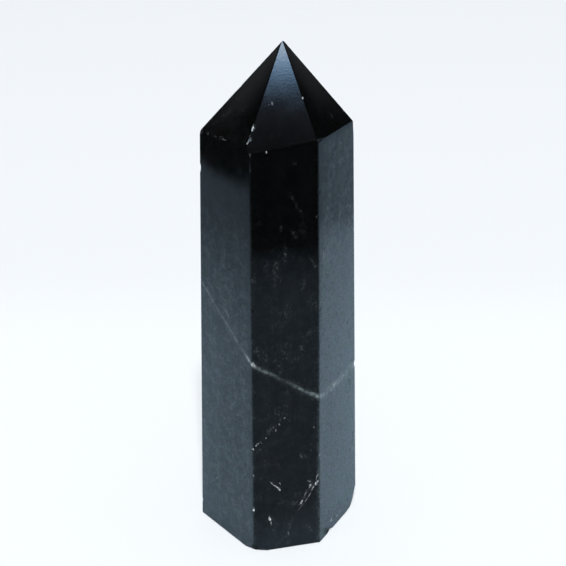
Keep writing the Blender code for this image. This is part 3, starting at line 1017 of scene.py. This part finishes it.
roomLight = {
    "white": (0.965, 0.98, 1.0, 1),  # the pale room that lights the stage
    "whiteStrength": 0.30,
    "windowAzimuth": -69.0,
    "windows": 3,
    "windowEdge": (0.0, 0.3),
    # the windows' light grows with the square of the height above their lower rim; a height
    # is the upward share of a direction of length one, and the rim climbs a little sideways
    "windowRim": 0.8161,
    "windowSlant": (0.131, 0.050),
    "windowClimb": 22000.0,
    "windowMost": 10.0,
    "belowRim": (0.76, 0.82, 0.0, 0.14),
    "skyGrey": (0.88, 1.0, 1.33, 1),
    "skyBlue": (0.56, 1.0, 1.58, 1),
    "skyWhite": (0.84, 1.0, 1.17, 1),
    "bluing": (0.2, 0.9),
    "whitening": (4.5, 10.0),
    "glow": 0.27,  # a pale patch of wall behind the stone
    "glowBack": (0.400, 0.452),
    "glowHeight": (0.335, 0.435),
    "glowTurn": -0.087,
    "glowSlant": 0.094,
    "roomTint": (0.9, 1.0, 1.1, 1),
    "dark": 0.008,
}


def makeRoom():
    look = roomLight
    world = bpy.data.worlds.new("room")
    world.use_nodes = True
    bpy.context.scene.world = world
    tree = world.node_tree
    tree.nodes.clear()
    way = addNode(tree, "ShaderNodeTexCoord").outputs["Generated"]
    axes = addNode(tree, "ShaderNodeSeparateXYZ", {0: way}).outputs
    azimuth = calc(tree, "ARCTAN2", axes[1], axes[0])
    turned = calc(tree, "SUBTRACT", azimuth, math.radians(look["windowAzimuth"]))
    beat = calc(tree, "COSINE", calc(tree, "MULTIPLY", turned, float(look["windows"])))
    slanted = calc(tree, "MULTIPLY_ADD", axes[0], look["windowSlant"][0], axes[2])
    slanted = calc(tree, "MULTIPLY_ADD", axes[1], look["windowSlant"][1], slanted)
    height = calc(tree, "MAXIMUM", calc(tree, "SUBTRACT", slanted, look["windowRim"]), 0.0)
    shine = calc(tree, "MULTIPLY", calc(tree, "MULTIPLY", height, height), look["windowClimb"])
    shine = calc(tree, "MINIMUM", shine, look["windowMost"])
    shine = calc(tree, "ADD", shine, fade(tree, slanted, *look["belowRim"]))
    window = calc(tree, "MULTIPLY", fade(tree, beat, *look["windowEdge"]), shine)
    sky = mixColour(tree, fade(tree, shine, *look["bluing"]), look["skyGrey"], look["skyBlue"])
    sky = mixColour(tree, fade(tree, shine, *look["whitening"]), sky, look["skyWhite"])
    backness = calc(tree, "MULTIPLY_ADD", axes[0], look["glowTurn"], axes[1])
    raised = calc(tree, "MULTIPLY_ADD", axes[0], look["glowSlant"], axes[2])
    glow = calc(tree, "MULTIPLY", fade(tree, backness, *look["glowBack"]),
                fade(tree, raised, *look["glowHeight"]))
    glow = calc(tree, "MULTIPLY_ADD", glow, look["glow"], look["dark"])
    windows = addNode(tree, "ShaderNodeBackground", {"Color": sky, "Strength": window})
    room = addNode(tree, "ShaderNodeBackground", {"Color": look["roomTint"], "Strength": glow})
    mirrored = addNode(tree, "ShaderNodeAddShader", {0: windows.outputs[0], 1: room.outputs[0]})
    specksAndGlints = addNode(tree, "ShaderNodeBackground", {"Color": look["white"], "Strength": look["whiteStrength"]})
    rays = addNode(tree, "ShaderNodeLightPath")
    inputs = {0: rays.outputs["Is Glossy Ray"], 1: specksAndGlints.outputs[0], 2: mirrored.outputs[0]}
    both = addNode(tree, "ShaderNodeMixShader", inputs)
    output = addNode(tree, "ShaderNodeOutputWorld")
    tree.links.new(both.outputs[0], output.inputs[0])


lamps = {
    "overhead": {"place": (100, -3300, 5000), "size": 800, "power": 415.0, "colour": (0.97, 0.985, 1.0)},
}


def makeLamps():
    for name, lamp in lamps.items():
        light = bpy.data.lights.new(name, "AREA")
        light.shape = "DISK"
        light.size = lamp["size"] * mm
        light.energy = lamp["power"]
        light.color = lamp["colour"]
        item = bpy.data.objects.new(name, light)
        item.location = Vector(lamp["place"]) * mm
        item.rotation_euler = (-item.location).to_track_quat("-Z", "Y").to_euler()
        item.visible_glossy = False
        bpy.context.scene.collection.objects.link(item)


cameraSet = {
    "place": (0.0, -187.08, 142.76),
    "pitch": 27.557,
    "yaw": -0.261,
    "roll": -0.256,
    "focus": 1300.0,  # in pixels of the 566-pixel picture
    "picture": 566.0,
    "sensor": 36.0,
    "nearest": 10.0,
}


def makeCamera():
    look = cameraSet
    camera = bpy.data.cameras.new("camera")
    camera.sensor_width = look["sensor"]
    camera.lens = look["sensor"] * look["focus"] / look["picture"]
    camera.clip_start = look["nearest"] * mm
    item = bpy.data.objects.new("camera", camera)
    turn = (Matrix.Rotation(math.radians(look["yaw"]), 4, "Z")
            @ Matrix.Rotation(math.radians(90 - look["pitch"]), 4, "X")
            @ Matrix.Rotation(math.radians(look["roll"]), 4, "Z"))
    item.matrix_world = Matrix.Translation(Vector(look["place"]) * mm) @ turn
    bpy.context.scene.collection.objects.link(item)
    bpy.context.scene.camera = item


makeFloor()
makeMirroredFloor()
makeRoom()
makeLamps()
makeCamera()
bpy.context.scene.view_settings.view_transform = "Standard"
print("stage set")
